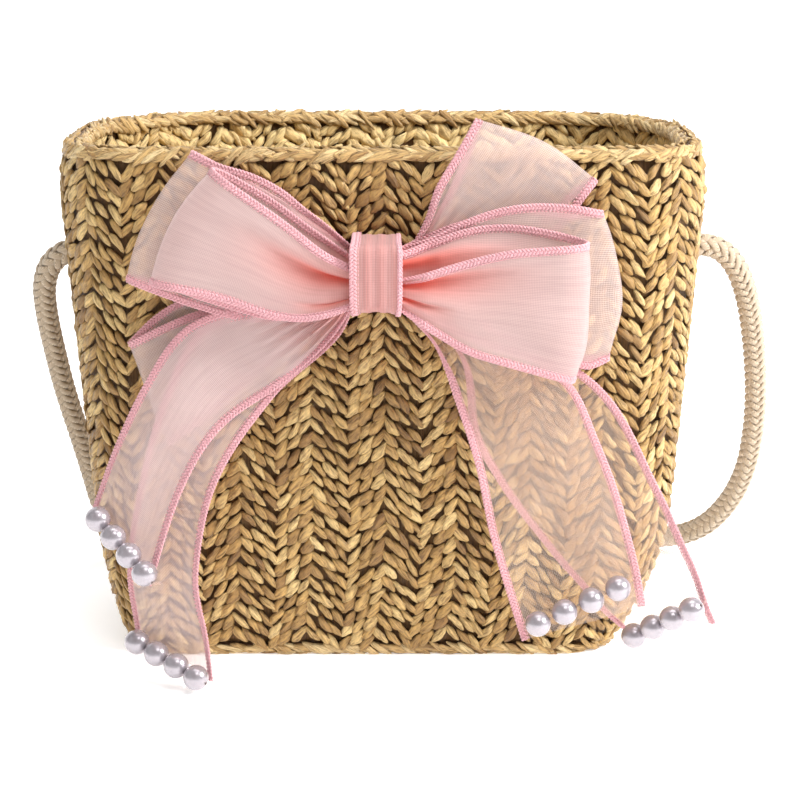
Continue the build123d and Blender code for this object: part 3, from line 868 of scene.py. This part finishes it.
class Nodes:
    """Short ways to add and join the nodes of one material."""

    def __init__(self, name):
        self.material = bpy.data.materials.new(name)
        self.material.use_nodes = True
        self.tree = self.material.node_tree
        self.shader = self.tree.nodes["Principled BSDF"]
        self.output = self.tree.nodes["Material Output"]

    def add(self, kind, inputs=None, **settings):
        node = self.tree.nodes.new("ShaderNode" + kind)
        for key, value in settings.items():
            setattr(node, key, value)
        for key, value in (inputs or {}).items():
            self.put(node.inputs[key], value)
        return node

    def put(self, socket, value):
        if isinstance(value, bpy.types.NodeSocket):
            self.tree.links.new(value, socket)
        else:
            socket.default_value = value

    def value(self, name):
        return self.add("Attribute", attribute_name=name).outputs["Fac"]

    def math(self, operation, a, b=0.0):
        return self.add("Math", {0: a, 1: b}, operation=operation).outputs[0]

    def times(self, a, b):
        return self.math("MULTIPLY", a, b)

    def plus(self, a, b):
        return self.math("ADD", a, b)

    def scaled(self, a, factor, offset):
        return self.plus(self.times(a, factor), offset)

    def noise(self, scale, detail, **inputs):
        return self.add("TexNoise", {"Scale": scale, "Detail": detail, **inputs}).outputs["Fac"]

    def wave(self, scale, way, **inputs):
        return self.add("TexWave", {"Scale": scale, **inputs}, wave_type="BANDS",
                        bands_direction=way).outputs["Fac"]

    def vector(self, *values):
        return self.add("CombineXYZ", dict(enumerate(values))).outputs[0]

    def ramp(self, factor, stops):
        node = self.add("ValToRGB", {"Fac": factor})
        elements = node.color_ramp.elements
        while len(elements) < len(stops):
            elements.new(0.5)
        for element, (position, colour) in zip(elements, stops):
            element.position, element.color = position, colour
        return node.outputs["Color"]

    def mix(self, factor, a, b, blend="MIX"):
        node = self.add("Mix", data_type="RGBA", blend_type=blend)
        for key, value in ((0, factor), (6, a), (7, b)):
            self.put(node.inputs[key], value)
        return node.outputs[2]

    def blend(self, factor, one, other):
        node = self.add("MixShader", {0: factor})
        for place, shader in ((1, one), (2, other)):
            self.tree.links.new(shader.outputs[0], node.inputs[place])
        return node

    def show(self, shader):
        self.tree.links.new(shader.outputs[0], self.output.inputs["Surface"])

    def bump(self, height, strength, distance):
        node = self.add("Bump", {"Height": height, "Strength": strength, "Distance": distance})
        self.tree.links.new(node.outputs["Normal"], self.shader.inputs["Normal"])
        return node

    def set(self, **inputs):
        for key, value in inputs.items():
            self.put(self.shader.inputs[key.replace("_", " ")], value)


def fibre_vector(n, turns, stretch):
    """A coordinate that runs along each strand and round it, a different stretch for each tint."""
    angle = n.times(n.value("round"), 2 * math.pi)
    along = n.plus(n.times(n.value("along"), stretch), n.times(n.value("tint"), 91.0))
    return n.vector(n.times(n.math("COSINE", angle), turns), n.times(n.math("SINE", angle), turns),
                    along)


def straw_material(name, dark, mid, light, shade):
    """Twisted paper straw: fine lengthwise creases, uneven tint, dry satin, with painted highlights and
    painted crease shade along the fibres.
    """
    n = Nodes(name)
    fibres = n.noise(2.2, 5.0, Vector=fibre_vector(n, 0.85, 0.9), Roughness=0.66)
    fine = n.noise(2.6, 3.0, Vector=fibre_vector(n, 2.4, 1.4))
    body = n.ramp(n.value("tint"), [(0.0, dark), (0.5, mid), (1.0, light)])
    # Fibre streaks: the straw's own tone, with a painted highlight at the bright end (above one) and
    # painted crease shade at the dark end.
    fibre_tone_painted_highlight_and_shade = n.ramp(fibres, [(0.35, (0.44, 0.36, 0.27, 1)), (0.50, (0.93, 0.91, 0.86, 1)),
                             (0.68, (1.26, 1.24, 1.15, 1))])
    worn = n.ramp(n.noise(55.0, 2.0), [(0.3, shade), (0.7, (1.06, 1.05, 1.0, 1))])
    n.set(Base_Color=n.mix(1.0, n.mix(1.0, body, fibre_tone_painted_highlight_and_shade, "MULTIPLY"), worn, "MULTIPLY"), Roughness=0.44,
          Specular_IOR_Level=0.55, Sheen_Weight=0.08, Sheen_Roughness=0.5)
    n.bump(n.plus(fibres, n.times(fine, 0.35)), 0.8, 0.0008)
    return n.material


def rope_material():
    """Cream cotton: fine plied threads across each cord, soft and matte."""
    n = Nodes("cotton_rope")
    ply = n.wave(1.6, "DIAGONAL", Vector=fibre_vector(n, 1.0, 300.0), Distortion=1.5, Detail=2.0)
    # Darker in the grooves between the plies: painted groove shade.
    groove = n.ramp(ply, [(0.0, srgb(172, 150, 121)), (0.6, srgb(212, 194, 170))])
    tone = n.ramp(n.noise(60.0, 2.0), [(0.3, (0.93, 0.90, 0.86, 1)), (0.7, (1.04, 1.03, 1.02, 1))])
    n.set(Base_Color=n.mix(1.0, groove, tone, "MULTIPLY"), Roughness=0.88, Sheen_Weight=0.4,
          Sheen_Roughness=0.6, Specular_IOR_Level=0.2)
    n.bump(n.plus(ply, n.times(n.noise(1500.0, 4.0), 0.6)), 0.5, 0.0004)
    return n.material


straw = straw_material("woven_straw", srgb(142, 105, 57), srgb(197, 160, 99), srgb(236, 209, 152),
                       (0.84, 0.81, 0.76, 1))
# A darker copy of the straw for the warp, braid cores and base plate, seen in the gaps between leaves:
# painted shade.
warp_straw = straw_material("hidden_straw_painted_shade", srgb(122, 88, 46), srgb(140, 104, 58), srgb(160, 122, 72),
                            (0.8, 0.78, 0.74, 1))
# A paler copy of the straw for the inner face: painted light.
inside_straw_painted_light = straw_material("inside_straw_painted_light", srgb(178, 134, 76), srgb(226, 186, 120), srgb(250, 226, 170),
                              (0.9, 0.88, 0.84, 1))
braid_straw = straw_material("braid_straw", srgb(168, 130, 78), srgb(208, 174, 118), srgb(240, 216, 168),
                             (0.9, 0.88, 0.84, 1))
for piece in straw_pieces:
    piece.data.materials.append(inside_straw_painted_light if "inside" in piece.name else straw)
for piece in braid_pieces:
    piece.data.materials.append(braid_straw)
for piece in (warp, plate, *braid_cores):
    piece.data.materials.append(warp_straw)
rope.data.materials.append(rope_material())


# ---- ribbon, pearl and thread materials
def organza_material(name, clear, pale, deep):
    """Sheer woven ribbon: fine warp and weft, denser and warmer where it is folded, with painted shade
    deepening the fold valleys and a painted sheen along its length.
    """
    n = Nodes(name)
    warp, weft, fold = n.value("warp"), n.value("weft"), n.value("fold")
    cloth = n.vector(warp, weft)
    threads = [n.wave(640.0, way, Vector=cloth, Distortion=0.6, Detail=1.0) for way in ("X", "Y")]
    weave = n.times(n.plus(*threads), 0.5)
    # Lengthwise streaks and the weave brighten and darken the colour: painted sheen over the weave's real
    # thread pattern.
    painted_sheen_streaks = n.noise(900.0, 3.0, Vector=n.vector(warp, n.times(weft, 0.06)))
    glint = n.ramp(n.plus(n.times(painted_sheen_streaks, 0.6), n.times(weave, 0.4)),
                   [(0.32, (0.88, 0.86, 0.86, 1)), (0.66, (1.07, 1.07, 1.07, 1))])
    # Coral where the fold value is high: the dense cloth's own colour, and painted shade in the fold
    # valleys.
    shade = n.mix(1.0, n.mix(n.times(fold, 0.95), pale, deep), glint, "MULTIPLY")
    n.set(Base_Color=shade, Roughness=0.66, Specular_IOR_Level=0.18, Sheen_Weight=0.25,
          Sheen_Roughness=0.5)
    n.bump(weave, 0.25, 0.00025)
    solid = n.blend(0.30, n.shader, n.add("BsdfTranslucent", {"Color": shade}))
    opening = n.times(n.math("SUBTRACT", 1.0, fold), clear)
    opening = n.times(opening, n.scaled(weave, -0.44, 1.22))
    opening = n.times(opening, n.scaled(n.noise(70.0, 2.0, Vector=cloth), -0.30, 1.15))
    n.show(n.blend(opening, solid, n.add("BsdfTransparent", {"Color": (0.96, 0.92, 0.915, 1)})))
    return n.material


def thread_material(name, dark, light):
    """Soft sewing thread with a fine ply."""
    n = Nodes(name)
    ply = n.wave(1.5, "DIAGONAL", Vector=fibre_vector(n, 1.0, 420.0), Distortion=1.0)
    # Darker between the plies: painted shade in the thread's grooves.
    n.set(Base_Color=n.ramp(ply, [(0.1, dark), (0.8, light)]), Roughness=0.6, Sheen_Weight=0.4,
          Sheen_Roughness=0.5, Specular_IOR_Level=0.4)
    n.bump(ply, 0.4, 0.0002)
    return n.material


def clear_thread_material():
    """Clear nylon thread: mostly see-through."""
    n = Nodes("clear_thread")
    n.set(Base_Color=srgb(208, 176, 164), Roughness=0.6, Specular_IOR_Level=0.1)
    n.show(n.blend(0.85, n.shader, n.add("BsdfTransparent", {"Color": (1, 1, 1, 1)})))
    return n.material


def pearl_material():
    """Pearl lustre: thin cloudy layers under a clear coat."""
    n = Nodes("pearl")
    layers = n.noise(160.0, 3.0, Roughness=0.4)
    tone = n.ramp(layers, [(0.3, srgb(162, 155, 161)), (0.6, srgb(188, 181, 187))])
    n.set(Base_Color=tone, Roughness=0.27, Metallic=0.58, Specular_IOR_Level=0.6, Coat_Weight=0.6,
          Coat_Roughness=0.10)
    n.bump(layers, 0.04, 0.0002)
    return n.material


# CORAL_AND_FOLD_SHADE is the colour of dense folds, also used as painted fold shade.
BLUSH, CORAL_AND_FOLD_SHADE = srgb(218, 194, 191), srgb(230, 116, 100)
sheer_single = organza_material("organza_single", 0.60, srgb(248, 231, 225), CORAL_AND_FOLD_SHADE)
sheer_left = organza_material("organza_left_tails", 0.50, srgb(246, 226, 224), CORAL_AND_FOLD_SHADE)
sheer_right = organza_material("organza_right_tails", 0.74, srgb(250, 230, 214), CORAL_AND_FOLD_SHADE)
sheer_double = organza_material("organza_layered", 0.27, BLUSH, CORAL_AND_FOLD_SHADE)
stitch = thread_material("edge_thread", srgb(208, 132, 142), srgb(234, 186, 190))
gathered = thread_material("gathered_ribbon", srgb(150, 62, 56), srgb(182, 92, 84))
clear_thread = clear_thread_material()
for name, (sheet, edges) in {**loop_pieces, **tail_pieces, "band": band_pieces}.items():
    cloth = sheer_single
    if name == "band" or name.endswith("ribbon_front"):
        cloth = sheer_double
    elif name in tail_pieces:
        cloth = sheer_left if name.startswith("left") else sheer_right
    sheet.data.materials.append(cloth)
    edges.data.materials.append(stitch)
for knot in knots:
    knot.data.materials.append(rope.data.materials[0])
pearl = pearl_material()
for name, node in frame["nodes"].items():
    finish = None
    if name.startswith("pearls_"):
        finish = pearl
    elif name.startswith("pearl_thread_"):
        finish = clear_thread
    elif name == "bow_tack":
        finish = stitch
    elif name == "ribbon_core":
        finish = gathered
    if finish:
        node.data.materials.clear()
        node.data.materials.append(finish)


# ---- studio
def studio():
    """A pale floor that curves up behind, soft lights, an even sky and a card seen only in gloss."""
    profile = [(-2.6, 0.0), (0.9, 0.0)]
    profile += [(0.9 + 0.5 * math.sin(a), 0.5 - 0.5 * math.cos(a))
                for a in np.linspace(0.1, math.pi / 2, 12)]
    profile += [(1.4, 2.4)]
    points = [(x, y, z) for y, z in profile for x in (-3.0, 3.0)]
    faces = [(2 * i, 2 * i + 1, 2 * i + 3, 2 * i + 2) for i in range(len(profile) - 1)]
    floor = linked("floor", bpy.data.meshes.new("floor"))
    floor.data.from_pydata(points, [], faces)
    floor.data.shade_smooth()
    n = Nodes("pale_floor")
    n.set(Base_Color=(0.95, 0.95, 0.95, 1), Roughness=0.8, Specular_IOR_Level=0.1,
          Emission_Color=(1, 1, 1, 1), Emission_Strength=0.45)
    floor.data.materials.append(n.material)
    lights = (("key", (0.84, -0.32, 0.57), 0.36, 11.8), ("fill", (-0.9, -0.7, 0.6), 1.2, 0.7),
              ("top", (0.15, -0.25, 1.4), 1.0, 12.0), ("upper", (0.12, -0.40, 0.60), 0.25, 0.8))
    for name, place, size, power in lights:
        lamp = linked(name, bpy.data.lights.new(name, "AREA"))
        lamp.data.size, lamp.data.energy = size, power
        lamp.location = place
        aim = np.array((0, 0, 0.08)) - np.array(place)
        lamp.rotation_euler = (math.atan2(math.hypot(aim[0], aim[1]), -aim[2]), 0,
                               math.atan2(-aim[0], aim[1]))
    card = linked("shade_card", bpy.data.meshes.new("shade_card"))
    card.data.from_pydata([(-0.9, -1.3, 0.5), (0.7, -1.3, 0.5), (0.7, -0.2, 1.25), (-0.9, -0.2, 1.25)],
                          [], [(0, 1, 2, 3)])
    n = Nodes("card_grey")
    n.set(Base_Color=(0.10, 0.075, 0.07, 1), Roughness=0.9, Specular_IOR_Level=0.0)
    card.data.materials.append(n.material)
    for kind in ("camera", "diffuse", "transmission", "shadow", "volume_scatter"):
        setattr(card, "visible_" + kind, False)
    world = bpy.data.worlds.new("sky")
    bpy.context.scene.world = world
    world.use_nodes = True
    sky = world.node_tree.nodes["Background"].inputs
    sky["Color"].default_value = (1, 1, 1, 1)
    sky["Strength"].default_value = 0.36
    bpy.context.scene.view_settings.view_transform = "Standard"


studio()
